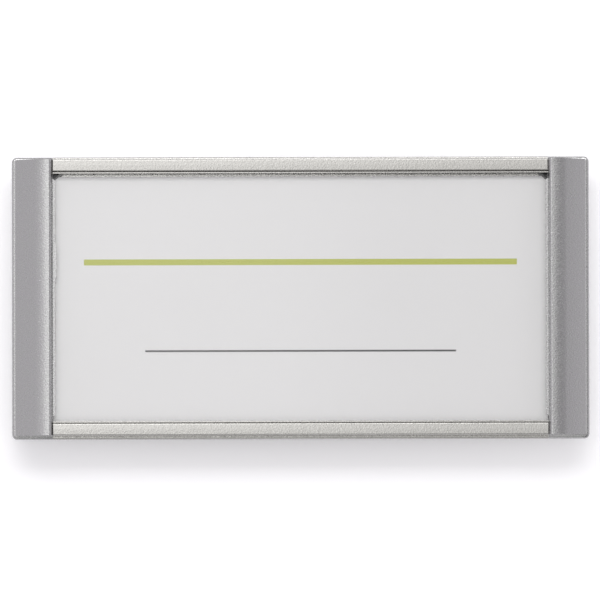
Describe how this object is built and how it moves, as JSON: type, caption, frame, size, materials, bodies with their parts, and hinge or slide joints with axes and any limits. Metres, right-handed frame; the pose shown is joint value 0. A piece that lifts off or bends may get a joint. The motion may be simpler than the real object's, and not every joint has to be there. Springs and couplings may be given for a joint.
{
  "type": "name badge",
  "caption": "Name badge lying face up: metal profile with curved end caps, a plain ruled card behind a clear cover, and a flat magnetic fastener on the back.",
  "frame": {"origin": "middle of the footprint, on the surface that the badge lies on", "axes": "+X along the badge's length to the reader's right, +Y towards the upper edge of the card, +Z out of the card's face"},
  "size_m": [0.068, 0.0334, 0.0069],
  "materials": {
    "profile": "satin anodised with a fine grain",
    "cap": "silver metallic paint with a fine pearl grain",
    "window": "clear, glossy",
    "card": "white coated paper",
    "magnet": "fine moulded texture"
  },
  "bodies": {
    "root": {"profile": "profile", "end_cap_left": "cap", "end_cap_right": "cap", "window": "window", "card": "card", "magnet_bar": "magnet"}
  },
  "joints": []
}
